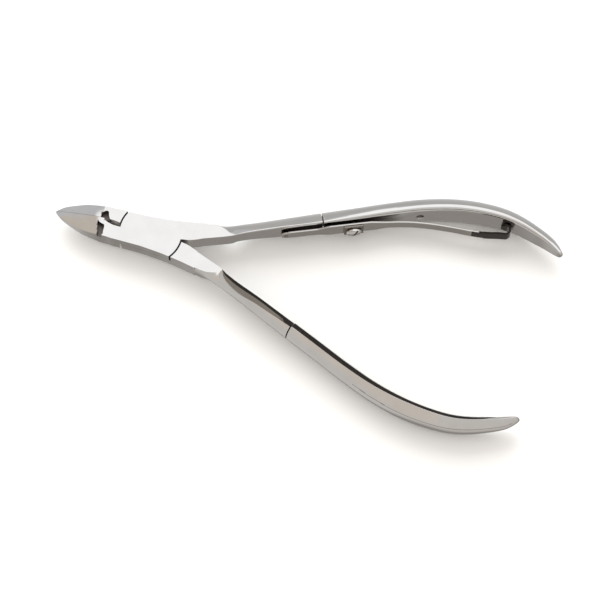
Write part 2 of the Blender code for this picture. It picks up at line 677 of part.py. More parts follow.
# ---------------------------------------------------------------- screws
def screw(name, radius, head_radius, head_height, shank_end, head_base,
          slot_width, slot_depth, dome, matrix, parts, cutters):
    """Slotted screw along local Z; dome is the rounded share of the head's height."""
    head_top = head_base + head_height
    profile = []
    for k in range(1, 7):
        angle = math.radians(90.0 * k / 6)
        profile.append((head_radius * math.sin(angle),
                        head_base + head_height * (1 - dome + dome * math.cos(angle))))
    profile += [(head_radius, head_base), (radius, head_base),
                (radius, shank_end + SHANK_CHAMFER), (radius - SHANK_CHAMFER, shank_end)]

    bm = bmesh.new()

    def vertex(x, y, z):
        return bm.verts.new(matrix @ (Vector((x, y, z)) * MM))

    count = 32
    turns = [2 * math.pi * i / count for i in range(count)]
    rings = [[vertex(r * math.cos(a), r * math.sin(a), z) for a in turns] for r, z in profile]
    top = vertex(0, 0, head_top)
    low = vertex(0, 0, shank_end)
    for i in range(count):
        j = (i + 1) % count
        for a, b in zip(rings, rings[1:]):
            bm.faces.new((a[i], b[i], b[j], a[j]))
        bm.faces.new((top, rings[0][i], rings[0][j]))
        bm.faces.new((low, rings[-1][j], rings[-1][i]))
    obj = from_bmesh(name, bm, parts)
    slot = box(name + "_slot", (3 * head_radius, slot_width, 2 * slot_depth),
               (0, 0, head_top), matrix, cutters)
    return apply_booleans(obj, cuts=[slot])


def pivot_screw(parts, cutters):
    """Enters from below, head flush with the underside."""
    return screw("pivot_screw", PIVOT_R, PIVOT_HEAD_R, PIVOT_HEAD_H,
                 shank_end=-PIVOT_END, head_base=HALF_T - PIVOT_HEAD_H,
                 slot_width=0.7, slot_depth=0.45, dome=0.12,
                 matrix=FLIP, parts=parts, cutters=cutters)


def spring_screw(parts, cutters):
    return screw("spring_screw", SCREW_R, SCREW_HEAD_R, SCREW_HEAD_H,
                 shank_end=-SCREW_DEPTH, head_base=PLATE_Z + PLATE_SIZE[2] + STACK_GAP,
                 slot_width=0.4, slot_depth=0.4, dome=0.6,
                 matrix=swivel_frame() @ Matrix.Rotation(math.radians(60), 4, "Z"),
                 parts=parts, cutters=cutters)


# ---------------------------------------------------------------- assembly
def finish(obj, mat):
    obj.data.materials.clear()
    obj.data.materials.append(mat)
    obj.data.shade_smooth()
    obj.data.set_sharp_from_angle(angle=math.radians(30))


def main():
    clear()
    parts = collection("cuticle_nipper")
    cutters = collection("cutters")

    steel = metal("polished_steel", colour=(0.78, 0.77, 0.75), roughness=0.12)
    lower_steel = metal("polished_steel_lower", colour=(0.76, 0.75, 0.74), roughness=0.12)
    spring_steel = metal("spring_steel", colour=(0.62, 0.60, 0.57), roughness=0.22)
    screw_steel = metal("screw_steel", colour=(0.70, 0.69, 0.67), roughness=0.18)
    plate_steel = metal("plate_steel", colour=(0.52, 0.50, 0.47), roughness=0.25)

    upper_arm, lower_arm = arms(parts, cutters)
    pivot = pivot_screw(parts, cutters)
    upper_handle, lower_handle = handles(parts, cutters)
    fixed = [(upper_arm, steel), (lower_arm, lower_steel), (upper_handle, steel),
             (lower_handle, lower_steel), (pivot, screw_steel)]
    swivelling = [(leaf_spring(parts, cutters), spring_steel),
                  (washer_plate(parts, cutters), plate_steel),
                  (spring_screw(parts, cutters), screw_steel),
                  (detent_nub(parts), screw_steel)]

    # bring the lap's top face to z = 0
    lowering = Matrix.Translation((0, 0, -HALF_T * MM))
    for obj, mat in fixed + swivelling:
        finish(obj, mat)
        obj.data.transform(lowering)

    # the swivelling pieces have their origins and axes on the spring screw's axis
    joint = lowering @ swivel_frame()
    for obj, _ in swivelling:
        obj.data.transform(joint.inverted())
        obj.matrix_world = joint

    for cutter in cutters.objects:
        cutter.hide_render = True
        cutter.display_type = "WIRE"


main()
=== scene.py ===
import json
import math

import bmesh
import bpy
from mathutils import Matrix, Vector

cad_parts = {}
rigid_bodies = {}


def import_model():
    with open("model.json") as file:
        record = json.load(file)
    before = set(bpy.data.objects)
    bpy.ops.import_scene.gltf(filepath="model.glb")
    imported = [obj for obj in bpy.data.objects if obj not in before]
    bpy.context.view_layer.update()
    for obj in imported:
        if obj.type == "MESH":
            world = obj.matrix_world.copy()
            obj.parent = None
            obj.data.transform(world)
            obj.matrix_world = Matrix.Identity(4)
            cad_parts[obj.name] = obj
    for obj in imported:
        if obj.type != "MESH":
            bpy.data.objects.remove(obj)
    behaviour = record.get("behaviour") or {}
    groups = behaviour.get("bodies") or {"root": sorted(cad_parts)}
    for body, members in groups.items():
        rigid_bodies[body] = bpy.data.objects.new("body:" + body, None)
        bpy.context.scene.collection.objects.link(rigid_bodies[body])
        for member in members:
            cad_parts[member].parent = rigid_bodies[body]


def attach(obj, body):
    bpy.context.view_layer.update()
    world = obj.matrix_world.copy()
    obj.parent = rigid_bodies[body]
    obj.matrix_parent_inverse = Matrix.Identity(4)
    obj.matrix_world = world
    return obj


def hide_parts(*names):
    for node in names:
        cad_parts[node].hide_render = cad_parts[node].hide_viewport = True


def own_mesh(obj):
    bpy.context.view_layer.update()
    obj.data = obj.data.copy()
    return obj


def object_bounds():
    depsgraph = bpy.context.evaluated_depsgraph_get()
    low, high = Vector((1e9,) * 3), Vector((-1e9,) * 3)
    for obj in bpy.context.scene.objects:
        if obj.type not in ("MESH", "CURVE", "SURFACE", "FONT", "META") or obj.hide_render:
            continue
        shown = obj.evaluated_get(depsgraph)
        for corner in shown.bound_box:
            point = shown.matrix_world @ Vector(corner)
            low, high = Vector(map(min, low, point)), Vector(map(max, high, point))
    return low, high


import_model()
cad_lo, cad_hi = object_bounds()
MM = 0.001

# ------------------------------------------------------------------ sizes (mm), as in the frame
HALF_T = 2.5
LAP_GAP = 0.03
R_BACK, R_BACK_OUT = 6.45, 6.80
R_FRONT, R_FRONT_OUT = 6.46, 6.82
JAW_GAP = 0.022
JAW_SLANT = 0.25
JAW_TIP_X, JAW_ROOT_X = -20.8, -10.2
SEAM_X, SEAM_GAP = 33.2, 0.26
TANG, TANG_PLAY = (3.0, 1.1, 3.2), 0.30
PIVOT_R, PIVOT_HOLE_R, PIVOT_HEAD_R, PIVOT_HEAD_H = 1.5, 1.6, 2.45, 1.0
LEAF_T, LEAF_W, PAD_W, LEAF_BASE = 0.42, 3.1, 4.8, 0.42
SCREW_X, SCREW_R, SCREW_HEAD_R, SCREW_HEAD_H = 40.3, 0.75, 1.60, 0.95
PLATE = (4.1, 4.4, 0.35)
SWIVEL_SLOPE = 0.402
NUB_X = 27.1
LEAF_END_X, LEAF_TAIL_X, HOOK_R = 70.8, 26.3, 0.76

LAP_EDGE = [(-11.5, 3.20), (-10.2, 3.20), (-9.0, 3.22), (-7.8, 3.30), (-5.5, 3.32), (-3.5, 3.34), (-1.0, 3.40),
            (1.0, 3.58), (3.2, 3.78), (5.0, 4.03), (7.5, 4.42), (10.0, 4.90), (11.5, 5.20), (13.0, 5.56)]
JAW_EDGE = [(-20.8, 0.14), (-20.6, 0.32), (-20.1, 0.66), (-19.2, 1.24), (-18.3, 1.62), (-17.15, 2.05),
            (-16.0, 2.42), (-14.7, 2.78), (-13.2, 3.02), (-12.0, 3.14), (-11.1, 3.20), (-10.2, 3.21)]
JAW_RIDGE = [(-20.8, 0.12), (-19.95, 0.50), (-18.86, 0.90), (-17.76, 1.14), (-16.67, 1.42), (-15.58, 1.68),
             (-14.48, 1.94), (-13.39, 2.18), (-12.3, 2.38), (-11.2, 2.46), (-10.2, 2.48)]
JAW_WALL = [(-20.8, 0.08), (-19.95, 0.40), (-18.86, 0.74), (-17.2, 1.00), (-16.0, 1.22), (-14.7, 1.46),
            (-13.4, 1.70), (-12.4, 1.90), (-11.2, 2.12), (-10.2, 2.30)]
SHANK_INNER = [(6.8, 0.30), (8.4, 0.60), (9.6, 1.02), (10.7, 1.52), (11.0, 1.66)]
FLAT_END_X = 11.0
BOW = [(9.0, 4.70), (10.0, 4.90), (11.5, 5.22), (13.0, 5.58), (14.0, 5.86), (16.0, 6.60), (18.0, 7.44), (22.0, 9.12),
       (26.5, 11.14), (33.2, 14.12), (40.0, 17.04), (46.3, 19.82), (53.7, 22.76), (61.0, 24.62), (66.0, 25.139),
       (71.5, 24.96), (78.2, 23.05), (82.8, 20.78), (84.894, 19.05)]
ARM_T = [(9.0, 3.60), (10.0, 3.42), (12.0, 3.12), (14.0, 2.90), (16.0, 2.80), (19.0, 2.76), (26.0, 2.88), (33.2, 3.10)]
ARM_H = [(9.0, 15.0), (12.6, 13.0), (13.3, 9.6), (14.0, 7.4), (14.75, 5.75), (15.7, 5.04), (16.2, 5.10), (17.0, 5.50),
         (19.0, 6.22), (22.4, 7.00), (26.0, 7.38), (33.2, 7.50)]
HANDLE_T = [(33.2, 3.20), (45.0, 3.25), (55.0, 3.38), (66.0, 3.22), (74.0, 2.86), (80.0, 2.30), (83.5, 1.80),
            (84.9, 1.50)]
HANDLE_H = [(33.2, 7.72), (45.0, 8.10), (55.0, 8.50), (66.0, 8.75), (72.0, 8.42), (77.0, 7.60), (81.0, 6.25),
            (83.5, 4.90), (84.9, 4.20)]
LEAF_LIFT = [(44.0, 0.62), (47.0, 0.78), (50.0, 1.10), (55.0, 1.95), (60.0, 2.85), (64.0, 3.30),
             (67.0, 3.20), (69.5, 2.66), (71.0, 2.34)]
# outlines of the two ground hollows behind the cutting edges
LOW_HOLLOW = [(-11.45, 0.02), (-11.22, -0.30), (-10.90, -0.52), (-10.40, -0.66), (-9.92, -0.76), (-9.78, -1.10),
              (-9.74, -1.60), (-9.70, -2.30), (-9.62, -2.80), (-9.86, -3.22), (-10.20, -3.55), (-10.86, -3.55),
              (-10.90, -2.75), (-10.98, -2.15), (-11.18, -1.45), (-11.36, -0.75)]
TOP_HOLLOW = [(-11.07, -1.22), (-10.92, -1.70), (-10.60, -2.08), (-10.18, -2.32), (-9.86, -2.30), (-9.66, -2.08),
              (-9.50, -1.50), (-9.14, -0.85), (-9.00, -0.40), (-11.05, -0.40)]
# Rounding of the inner edge (width, then the facet beyond it) on the two sides of one half.
ROUND_TOP = [(9.0, 0.40), (13.0, 0.40), (14.6, 0.20), (15.6, 0.05), (16.6, 0.18), (20.0, 0.24), (33.2, 0.30), (36.0, 0.50), (45.0, 0.90),
             (70.0, 0.90), (80.0, 0.60), (84.9, 0.30)]
ROUND_LOW = [(9.0, 0.40), (13.0, 0.40), (14.6, 0.20), (15.6, 0.05), (16.6, 0.70), (18.0, 1.00), (26.0, 1.05), (33.2, 1.35), (45.0, 1.45), (53.0, 1.25),
             (60.0, 0.95), (74.0, 0.85), (80.0, 0.50), (84.9, 0.25)]
FACET_LOW = [(15.6, 0.0), (16.6, 0.35), (18.5, 0.85), (26.0, 0.80), (31.5, 0.30), (34.0, 0.12), (60.0, 0.06), (84.9, 0.04)]
# slope of the outer side at the crest, degrees, on the two sides
TILT_TOP = [(15.0, 1.0), (17.5, 14.0), (33.2, 14.0), (38.0, 8.0), (84.9, 8.0)]
TILT_LOW = [(15.0, 1.0), (17.0, 26.0), (20.0, 40.0), (33.2, 42.0), (84.9, 42.0)]
CREASE = [(33.2, 0.0), (44.0, 0.0), (52.0, 0.6), (60.0, 1.0), (84.9, 1.0)]


# ------------------------------------------------------------------ curves
def spline(points, x):
    if x <= points[0][0]:
        return points[0][1]
    if x >= points[-1][0]:
        return points[-1][1]
    n = len(points)
    i = max(k for k in range(n - 1) if points[k][0] <= x)

    def slope(k):
        if k == 0:
            a, b = points[0], points[1]
        elif k == n - 1:
            a, b = points[-2], points[-1]
        else:
            h0 = points[k][0] - points[k - 1][0]
            h1 = points[k + 1][0] - points[k][0]
            d0 = (points[k][1] - points[k - 1][1]) / h0
            d1 = (points[k + 1][1] - points[k][1]) / h1
            return (d0 * h1 + d1 * h0) / (h0 + h1)
        return (b[1] - a[1]) / (b[0] - a[0])

    x0, y0 = points[i]
    x1, y1 = points[i + 1]
    h = x1 - x0
    t = (x - x0) / h
    return ((2 * t ** 3 - 3 * t ** 2 + 1) * y0 + (t ** 3 - 2 * t ** 2 + t) * h * slope(i)
            + (-2 * t ** 3 + 3 * t ** 2) * y1 + (t ** 3 - t ** 2) * h * slope(i + 1))


def clamp01(v):
    return max(0.0, min(1.0, v))


def bow_frame(x):
    d = 0.25
    x0, x1 = max(x - d, BOW[0][0]), min(x + d, BOW[-1][0])
    t = Vector((x1 - x0, spline(BOW, x1) - spline(BOW, x0))).normalized()
    return Vector((x, spline(BOW, x))), t, Vector((-t.y, t.x))


def inner_face(x, thick):
    p, t, n = bow_frame(x)
    return p - n * spline(thick, x)


def inner_y(x):
    thick = ARM_T if x < SEAM_X else HANDLE_T
    u = x
    for _ in range(12):
        u += x - inner_face(u, thick).x
    return inner_face(u, thick).y


def arc(r, a0, a1, n):
    return [(r * math.cos(a0 + (a1 - a0) * i / n), r * math.sin(a0 + (a1 - a0) * i / n)) for i in range(n + 1)]


def meet(points, r, x_sign):
    lo, hi = (0.5 * r, r) if x_sign > 0 else (-r, -0.5 * r)
    for _ in range(50):
        mid = 0.5 * (lo + hi)
        inside = math.hypot(mid, spline(points, mid)) < r
        if (x_sign > 0) == inside:
            lo = mid
        else:
            hi = mid
    return 0.5 * (lo + hi), spline(points, 0.5 * (lo + hi))


def stations(x0, x1, step):
    n = max(1, round(abs(x1 - x0) / step))
    return [x0 + (x1 - x0) * i / n for i in range(n + 1)]


# ------------------------------------------------------------------ mesh tools
work = bpy.data.collections.new("work")
bpy.context.scene.collection.children.link(work)


def from_bmesh(name, bm):
    bmesh.ops.recalc_face_normals(bm, faces=bm.faces)
    mesh = bpy.data.meshes.new(name)
    bm.to_mesh(mesh)
    bm.free()
    o = bpy.data.objects.new(name, mesh)
    work.objects.link(o)
    return o


def drop(o):
    m = o.data
    bpy.data.objects.remove(o, do_unlink=True)
    if m and m.users == 0:
        bpy.data.meshes.remove(m)


def plate(name, outline, z0, z1):
    bm = bmesh.new()
    low = [bm.verts.new((x * MM, y * MM, z0 * MM)) for x, y in outline]
    high = [bm.verts.new((x * MM, y * MM, z1 * MM)) for x, y in outline]
    n = len(outline)
    bm.faces.new(low[::-1])
    bm.faces.new(high)
    for i in range(n):
        bm.faces.new((low[i], low[(i + 1) % n], high[(i + 1) % n], high[i]))
    return from_bmesh(name, bm)


def loft(name, sections):
    bm = bmesh.new()
    rings = [[bm.verts.new(Vector(p) * MM) for p in ring] for ring in sections]
    n = len(rings[0])
    for a, b in zip(rings, rings[1:]):
        for i in range(n):
            bm.faces.new((a[i], a[(i + 1) % n], b[(i + 1) % n], b[i]))
    bm.faces.new(rings[0][::-1])
    bm.faces.new(rings[-1])
    return from_bmesh(name, bm)


def cylinder(name, r0, r1, z0, z1, matrix, segments=96):
    bm = bmesh.new()
    bmesh.ops.create_cone(bm, cap_ends=True, segments=segments, radius1=r0 * MM, radius2=r1 * MM,
                          depth=(z1 - z0) * MM, matrix=matrix @ Matrix.Translation((0, 0, 0.5 * (z0 + z1) * MM)))
    return from_bmesh(name, bm)


def box(name, size, centre, matrix):
    bm = bmesh.new()
    scale = Matrix.Diagonal((size[0] * MM, size[1] * MM, size[2] * MM, 1.0))
    bmesh.ops.create_cube(bm, size=1.0, matrix=matrix @ Matrix.Translation(Vector(centre) * MM) @ scale)
    return from_bmesh(name, bm)


def booleans(obj, joins, cuts):
    for op, others in (("UNION", joins), ("DIFFERENCE", cuts)):
        for other in others:
            mod = obj.modifiers.new("b", "BOOLEAN")
            mod.operation = op
            mod.solver = "EXACT"
            mod.object = other
            bpy.context.view_layer.update()
            mesh = bpy.data.meshes.new_from_object(obj.evaluated_get(bpy.context.evaluated_depsgraph_get()))
            obj.modifiers.clear()
            old = obj.data
            obj.data = mesh
            bpy.data.meshes.remove(old)
            drop(other)
    bm = bmesh.new()
    bm.from_mesh(obj.data)
    bmesh.ops.remove_doubles(bm, verts=bm.verts, dist=1e-6)
    bmesh.ops.dissolve_degenerate(bm, edges=bm.edges, dist=1e-7)
    bm.to_mesh(obj.data)
    bm.free()
    return obj


def soften(obj, width, angle=38.0, segments=2):
    """Breaks the sharp edges with a narrow rounded bevel."""
    mod = obj.modifiers.new("edge", "BEVEL")
    mod.width = width * MM
    mod.segments = segments
    mod.limit_method = "ANGLE"
    mod.angle_limit = math.radians(angle)
    mod.use_clamp_overlap = True
    mod.harden_normals = False
    mod.miter_outer = "MITER_ARC"
    bpy.context.view_layer.update()
    mesh = bpy.data.meshes.new_from_object(obj.evaluated_get(bpy.context.evaluated_depsgraph_get()))
    obj.modifiers.clear()
    old = obj.data
    obj.data = mesh
    bpy.data.meshes.remove(old)


def shade(obj, sharp=24.0, weighted=True):
    obj.data.shade_smooth()
    obj.data.set_sharp_from_angle(angle=math.radians(sharp))
    if weighted:
        mod = obj.modifiers.new("normals", "WEIGHTED_NORMAL")
        mod.weight = 80
        mod.keep_sharp = True


# ------------------------------------------------------------------ sections
def bow_side(x, w, h, rounding, facet, tilt, bulge, shrink):
    """Half of the section, from the middle of the inner face over the crest to the middle of
    the outer face: a rounding, a facet, a crest line, then a dome that turns into a facet,
    a crease and a near-flat outer face towards the handle's end."""
    limit = HALF_T if x < 15.7 else HALF_T + 2.0 * (x - 15.7)     # the lap's flat is ground across the bow's start
    lean = math.radians(16.0)
    r = rounding / (math.sin(math.radians(84)) - math.sin(lean))
    low = h - facet * math.tan(lean)
    half = []
    for k in range(9):
        t = math.radians(84.0) + (lean - math.radians(84.0)) * k / 8
        half.append((r * (math.sin(math.radians(84)) - math.sin(t)), low - r * (math.cos(lean) - math.cos(t))))
    crest = rounding + facet
    half.append((crest, h))
    span = w - crest
    q = math.tan(math.radians(tilt)) * span / h
    a0 = math.acos(min(0.90, q / max(0.1, 1.0 - q)))
    crease = clamp01(spline(CREASE, x)) if x > SEAM_X else 0.0
    k1 = min(0.30, 0.16 * w)
    m = 26
    for k in range(1, m + 1):
        u = k / m
        a = a0 * (1.0 - u)
        dome = (crest + span * (math.cos(a) - math.cos(a0)) / (1.0 - math.cos(a0)), h * math.sin(a) / math.sin(a0))
        # creased version: a slightly bulged facet down to the crease, a fine groove, then the outer face
        if u < 0.70:
            v = u / 0.70
            c0, c1 = Vector((crest, h)), Vector((w - k1, 0.46 * h))
            q = c0.lerp(c1, v)
            d = (c1 - c0).normalized()
            q += Vector((-d.y, d.x)) * (bulge * 4 * v * (1 - v) * shrink)
        else:
            v = (u - 0.70) / 0.30
            q = Vector((w - k1 * (1.0 - math.sin(math.radians(90.0 * v))), 0.46 * h * (1.0 - v)))
            if 0.0 < v < 0.16:
                q.x -= 0.030
        half.append((dome[0] + (q[0] - dome[0]) * crease, dome[1] + (q[1] - dome[1]) * crease))
    return [(a, max(0.0, min(b, limit))) for a, b in half]


def bow_section(x, thick, height, shrink=1.0):
    p, t, n = bow_frame(x)
    w0 = spline(thick, x)
    w = w0 * shrink
    h = 0.5 * spline(height, x) * shrink
    base = p - n * (0.5 * w0 + 0.5 * w)
    top = bow_side(x, w, h, spline(ROUND_TOP, x) * shrink, 0.02 * shrink, spline(TILT_TOP, x), 0.30, shrink)
    low = bow_side(x, w, h, spline(ROUND_LOW, x) * shrink, (spline(FACET_LOW, x) + 0.02) * shrink, spline(TILT_LOW, x),
                   0.10, shrink)
    ring = top + [(a, -b) for a, b in reversed(low[:-1])]
    return [(base.x + n.x * a, base.y + n.y * a, b) for a, b in ring]


def jaw_section(x):
    """Section of one closed jaw: cutting face on the slant plane, a facet, and the outer wall."""
    w, r, z = spline(JAW_EDGE, x), spline(JAW_RIDGE, x), spline(JAW_WALL, x)
    top = []
    y0, y1 = JAW_SLANT * r - JAW_GAP, -w
    for u in (0.0, 0.25, 0.5, 0.75, 1.0):
        top.append((x, y0 + (y1 - y0) * u, r + (z - r) * u + 0.05 * 4 * u * (1 - u) * min(1.0, w)))
    low = []
    b0 = -JAW_SLANT * r - JAW_GAP
    for u in (1.0, 0.75, 0.5, 0.25, 0.0):
        low.append((x, b0 + (y1 - b0) * u, -(r + (z - r) * u) - 0.05 * 4 * u * (1 - u) * min(1.0, w)))
    return top + low


# ------------------------------------------------------------------ the two arms
def seam_matrix():
    p, t, n = bow_frame(SEAM_X)
    c = p - n * (0.5 * spline(ARM_T, SEAM_X))
    m = Matrix.Identity(4)
    m.col[0][:3] = (t.x, t.y, 0)
    m.col[1][:3] = (n.x, n.y, 0)
    m.col[3][:3] = (c.x * MM, c.y * MM, 0)
    return m


def swivel_matrix():
    c = Vector((SCREW_X, inner_y(SCREW_X), 0.0))
    along = Vector((1.0, SWIVEL_SLOPE, 0.0)).normalized()
    out = Vector((along.y, -along.x, 0.0))
    m = Matrix.Identity(4)
    m.col[0][:3] = along
    m.col[1][:3] = out.cross(along)
    m.col[2][:3] = out
    m.col[3][:3] = c * MM
    return m


def arm(name):
    edge = lambda x: spline(LAP_EDGE, x)
    bx, by = meet(LAP_EDGE, R_BACK, -1)
    fx, fy = meet(LAP_EDGE, R_FRONT, 1)
    left = JAW_ROOT_X - 0.6
    s = 0.35
    top = [(x, edge(x)) for x in stations(FLAT_END_X, bx, s)]
    top += arc(R_BACK, math.atan2(by, bx), math.pi + math.asin(0.43 / R_BACK), 30)[1:]
    top += [(-8.0, -0.41), (-9.2, -0.14), (-9.8, 0.12), (JAW_ROOT_X + 0.10, 0.30), (JAW_ROOT_X + 0.06, -0.03), (left, -0.03)]
    top += [(x, -edge(x)) for x in stations(left, fx, s)]
    top += arc(R_FRONT, math.atan2(-fy, fx), math.asin(0.25 / R_FRONT), 34)[1:]
    inner = [(x, spline(SHANK_INNER, x)) for x in stations(6.8, 10.6, 0.35)] + [(FLAT_END_X, inner_y(FLAT_END_X) + 0.02)]
    top += inner
    body = plate(name, top, LAP_GAP, HALF_T)

    ox, oy = meet(LAP_EDGE, R_BACK_OUT, -1)
    low_jaw = [(left, -0.71), (-9.2, -0.70), (-7.94, -0.64), (-math.sqrt(R_BACK_OUT ** 2 - 0.46 ** 2), -0.46)]
    low_jaw += arc(R_BACK_OUT, math.pi + math.asin(0.46 / R_BACK_OUT), 2 * math.pi + math.atan2(-oy, ox), 24)[1:]
    low_jaw += [(x, -edge(x)) for x in stations(ox, left, s)[1:]]
    root = plate("root", low_jaw, -HALF_T, 0.4)

    sx, sy = meet(LAP_EDGE, R_FRONT_OUT, 1)
    low_shank = arc(R_FRONT_OUT, math.asin(0.32 / R_FRONT_OUT), math.atan2(sy, sx), 30)
    low_shank += [(x, edge(x)) for x in stations(sx, FLAT_END_X, s)[1:]]
    low_shank += list(reversed(inner))[:-1]
    shank = plate("shank", low_shank, -HALF_T, 0.4)

    jaw = loft("jaw", [jaw_section(x) for x in
                       [-20.8, -20.65, -20.5, -20.35] + stations(-20.2, JAW_ROOT_X, 0.25)])
    bow = loft("bow", [bow_section(x, ARM_T, ARM_H) for x in stations(10.0, 13.0, 0.4) + stations(13.0, 18.0, 0.15)[1:]
                       + stations(18.0, SEAM_X - 0.5 * SEAM_GAP, 0.4)[1:]])
    tang = box("tang", (TANG[0] + 3.0, TANG[1], TANG[2]), (0.5 * TANG[0] - 1.5, 0, 0), seam_matrix())
    return booleans(body, [root, shank, jaw, bow, tang], [])


FLIP = Matrix.Rotation(math.pi, 4, "X")
sm, sw = seam_matrix(), swivel_matrix()

upper_arm = arm("upper_arm_polished")
lower_arm = bpy.data.objects.new("lower_arm_polished", upper_arm.data.copy())
lower_arm.data.transform(FLIP)
work.objects.link(lower_arm)

q_nub = sw.inverted() @ (Vector((NUB_X, inner_y(NUB_X), 0)) * MM)
far_world = sw @ Vector((-q_nub.x, 0, 0))
q_far = sw.inverted() @ (Vector((far_world.x / MM, inner_y(far_world.x / MM), 0)) * MM)

for obj, m in ((upper_arm, Matrix.Identity(4)), (lower_arm, FLIP)):
    cuts = []
    for tag, outline, z0, z1 in (("jaw_hollow", LOW_HOLLOW, 0.95, 3.4), ("lap_hollow", TOP_HOLLOW, -3.4, -0.95)):
        h = plate(tag, outline, z0, z1)
        h.data.transform(m)
        cuts.append(h)
    if obj is upper_arm:
        cuts.append(cylinder("bore", PIVOT_HOLE_R, PIVOT_HOLE_R, -1.0, 1.75, Matrix.Identity(4)))
        cuts.append(cylinder("dimple", 0.75, 1.05, -0.35, 0.8, sw @ Matrix.Translation((q_nub.x, 0, q_nub.z)), 48))
    else:
        cuts.append(cylinder("bore", PIVOT_HOLE_R, PIVOT_HOLE_R, -4.0, 1.0, Matrix.Identity(4)))
        cuts.append(cylinder("sink", PIVOT_HEAD_R + 0.10, PIVOT_HEAD_R + 0.10, -4.0, -HALF_T + PIVOT_HEAD_H + 0.1,
                             Matrix.Identity(4)))
    booleans(obj, [], cuts)
    soften(obj, 0.07)
    shade(obj)
    for p in obj.data.polygons:            # the ground flats of the lap stay dead flat
        if abs(p.normal.z) > 0.9999:
            p.use_smooth = False


# ------------------------------------------------------------------ the handles
def handle(name):
    xs = stations(SEAM_X + 0.5 * SEAM_GAP, 82.0, 0.45)
    rings = [bow_section(x, HANDLE_T, HANDLE_H) for x in xs]
    x0, x1 = 82.0, BOW[-1][0]
    for a in range(6, 88, 6):
        x = x0 + (x1 - x0) * math.sin(math.radians(a))
        rings.append(bow_section(x, HANDLE_T, HANDLE_H, max(0.10, math.cos(math.radians(a)) ** 0.7)))
    return loft(name, rings)


def socket():
    return box("socket", (TANG[0] + TANG_PLAY + 3.0, TANG[1] + 2 * TANG_PLAY, TANG[2] + 2 * TANG_PLAY),
               (0.5 * (TANG[0] + TANG_PLAY) - 1.5, 0, 0), sm)


upper_handle = handle("upper_handle_polished")
lower_handle = handle("lower_handle_polished")
booleans(upper_handle, [], [socket(),
                            cylinder("hole", SCREW_R + 0.15, SCREW_R + 0.15, -2.0, 1.0, sw, 48),
                            cylinder("dimple", 0.75, 1.05, -0.35, 0.8, sw @ Matrix.Translation((-q_nub.x, 0, q_far.z)), 48)])
booleans(lower_handle, [], [socket()])
for o in (upper_handle, lower_handle):
    soften(o, 0.07, angle=50.0)
lower_handle.data.transform(FLIP)
for o in (upper_handle, lower_handle):
    shade(o, 26.0)


# ------------------------------------------------------------------ spring, plate, screws, nub
def leaf():
    inv = sw.inverted()

    def station(x):
        q = inv @ (Vector((x, inner_y(x), 0)) * MM)
        if x <= 44.0:
            return Vector((q.x / MM, LEAF_BASE))
        return Vector((q.x / MM, q.z / MM + spline(LEAF_LIFT, x)))

    xs = stations(LEAF_TAIL_X, 44.0, 0.3) + stations(44.0, LEAF_END_X, 0.3)[1:]
    line = [station(x) for x in xs]
    for _ in range(6):
        line = [line[0]] + [(line[i - 1] + 2 * line[i] + line[i + 1]) / 4 for i in range(1, len(line) - 1)] + [line[-1]]
    # the end is turned back on itself in a tight hook that rests on the handle
    d = (line[-1] - line[-2]).normalized()
    turn = Vector((-d.y, d.x))
    centre, radius = line[-1] - turn * HOOK_R, HOOK_R
    for k in range(1, 13):
        a = math.radians(185.0) * k / 12
        line.append(centre + turn * (radius * math.cos(a)) + d * (radius * math.sin(a)))
        xs.append(LEAF_END_X)
    back = (line[-1] - line[-2]).normalized()
    for k in range(1, 4):
        line.append(line[-1] + back * 0.30)
        xs.append(LEAF_END_X + 1.4 * k)
    rings = []
    e = 0.15
    for i, (x, p) in enumerate(zip(xs, line)):
        a, b = line[max(0, i - 1)], line[min(len(line) - 1, i + 1)]
        t = (b - a).normalized()
        n = Vector((-t.y, t.x))
        w = LEAF_W
        if 33.0 < x < 47.5:
            u = min(1.0, (x - 33.0) / 3.0, (47.5 - x) / 4.0)
            w = LEAF_W + (PAD_W - LEAF_W) * (u * u * (3 - 2 * u))
        elif x > 66.0:
            w = LEAF_W * (1.12 - 0.11 * max(0.0, x - LEAF_END_X))      # the hook's end tapers
        elif x < 28.0:
            w = LEAF_W * (0.55 + 0.45 * math.sqrt(max(0.0, (x - LEAF_TAIL_X) / (28.0 - LEAF_TAIL_X))))
        hw = 0.5 * w
        ring = []
        prof = []
        for cu, cv in ((0, 1), (1, 1), (1, -1), (0, -1)):      # corners rounded to a radius of e
            cx = e if cu == 0 else LEAF_T - e
            cy = (hw - e) * cv
            start = {(0, 1): 180, (1, 1): 90, (1, -1): 0, (0, -1): -90}[(cu, cv)]
            for k in range(4):
                ang = math.radians(start - 30 * k)
                prof.append((cx + e * math.cos(ang), cy + e * math.sin(ang)))
        for u, v in prof:
            q = p + n * u
            ring.append(tuple((sw @ (Vector((q.x, v, q.y)) * MM)) / MM))
        rings.append(ring)
    return loft("leaf_spring_strip", rings)


